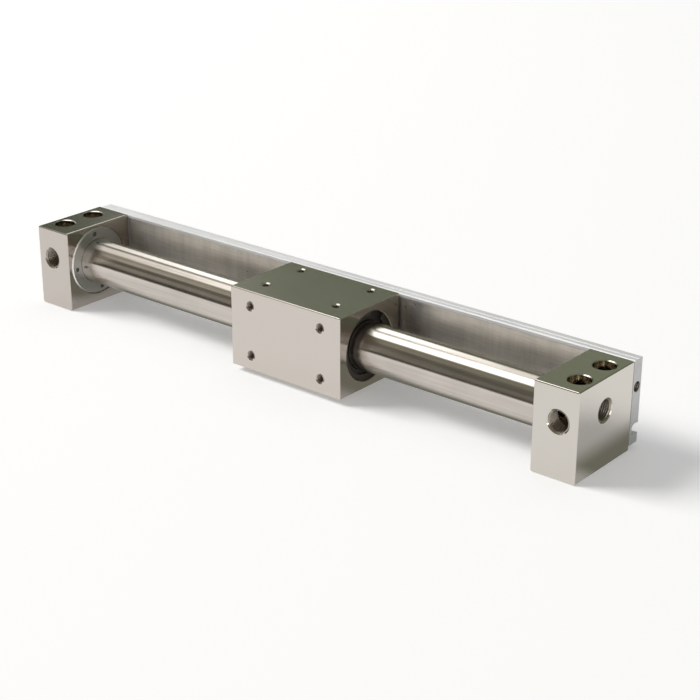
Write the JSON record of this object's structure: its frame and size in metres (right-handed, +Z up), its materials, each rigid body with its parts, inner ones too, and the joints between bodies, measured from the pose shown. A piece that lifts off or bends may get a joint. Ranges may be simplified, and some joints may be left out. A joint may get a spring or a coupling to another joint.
{
  "type": "rodless pneumatic cylinder",
  "caption": "Magnetically coupled rodless air cylinder: a block slider on a thin tube between two ported end blocks, with a flat switch rail along the back.",
  "frame": {"origin": "middle of the underside of the whole object's box, on the plane that the end blocks rest on", "axes": "+X along the tube, towards the end with the near port face in the picture; +Y from the slider's front towards the rail; +Z up"},
  "size_m": [0.3064, 0.047, 0.0395],
  "materials": {
    "nickel_plate": "satin nickel plate over milled aluminium",
    "polished_stainless": "polished stainless tube",
    "clear_anodise": "matte clear anodised",
    "rail_aluminium": "clear anodised extrusion with fine drawn lines",
    "shield_steel": "rolled grey steel strip",
    "black_screw": "black oxide",
    "spring_steel": "phosphated spring steel",
    "seal_rubber": "black nitrile rubber",
    "urethane": "amber urethane",
    "scraper_resin": "dark resin",
    "wear_resin": "brown bearing resin",
    "turned_aluminium": "turned aluminium",
    "felt": "oil-soaked felt",
    "magnet": "nickel plated sintered magnet",
    "yoke_iron": "rolled iron",
    "shaft_steel": "ground stainless"
  },
  "bodies": {
    "barrel": {"cylinder_tube": "polished_stainless", "left_attachment_ring": "clear_anodise", "left_bumper": "urethane", "left_end_block": "nickel_plate", "left_tube_clip": "spring_steel", "left_tube_gasket": "seal_rubber", "rail_screws": "black_screw", "right_attachment_ring": "clear_anodise", "right_bumper": "urethane", "right_end_block": "nickel_plate", "right_tube_clip": "spring_steel", "right_tube_gasket": "seal_rubber", "shield_plate": "shield_steel", "switch_rail": "rail_aluminium"},
    "carriage": {"left_felt_retainer": "felt", "left_scraper": "scraper_resin", "left_slider_retaining_ring": "spring_steel", "left_wear_ring": "wear_resin", "left_wear_spacer": "turned_aluminium", "outer_magnet_1": "magnet", "outer_magnet_2": "magnet", "outer_magnet_3": "magnet", "outer_magnet_4": "magnet", "outer_yoke_1": "yoke_iron", "outer_yoke_2": "yoke_iron", "outer_yoke_3": "yoke_iron", "outer_yoke_4": "yoke_iron", "outer_yoke_5": "yoke_iron", "right_felt_retainer": "felt", "right_scraper": "scraper_resin", "right_slider_retaining_ring": "spring_steel", "right_wear_ring": "wear_resin", "right_wear_spacer": "turned_aluminium", "slider_body": "nickel_plate", "switch_magnet": "magnet"},
    "piston": {"inner_magnet_1": "magnet", "inner_magnet_2": "magnet", "inner_magnet_3": "magnet", "inner_magnet_4": "magnet", "inner_yoke_1": "yoke_iron", "inner_yoke_2": "yoke_iron", "inner_yoke_3": "yoke_iron", "inner_yoke_4": "yoke_iron", "inner_yoke_5": "yoke_iron", "left_piston": "turned_aluminium", "left_piston_nut": "shaft_steel", "left_piston_seal": "seal_rubber", "left_piston_wear_ring": "wear_resin", "piston_shaft": "shaft_steel", "right_piston": "turned_aluminium", "right_piston_nut": "shaft_steel", "right_piston_seal": "seal_rubber", "right_piston_wear_ring": "wear_resin"}
  },
  "joints": [
    {"name": "carriage_slide", "type": "slide", "parent": "barrel", "child": "carriage", "axis": [1, 0, 0], "range_m": [-0.1062, 0.0938]},
    {"name": "piston_slide", "type": "slide", "parent": "barrel", "child": "piston", "axis": [1, 0, 0], "range_m": [-0.1062, 0.0938]}
  ],
  "couplings": [
    {"joint": "piston_slide", "follows": "carriage_slide", "ratio": 1}
  ]
}
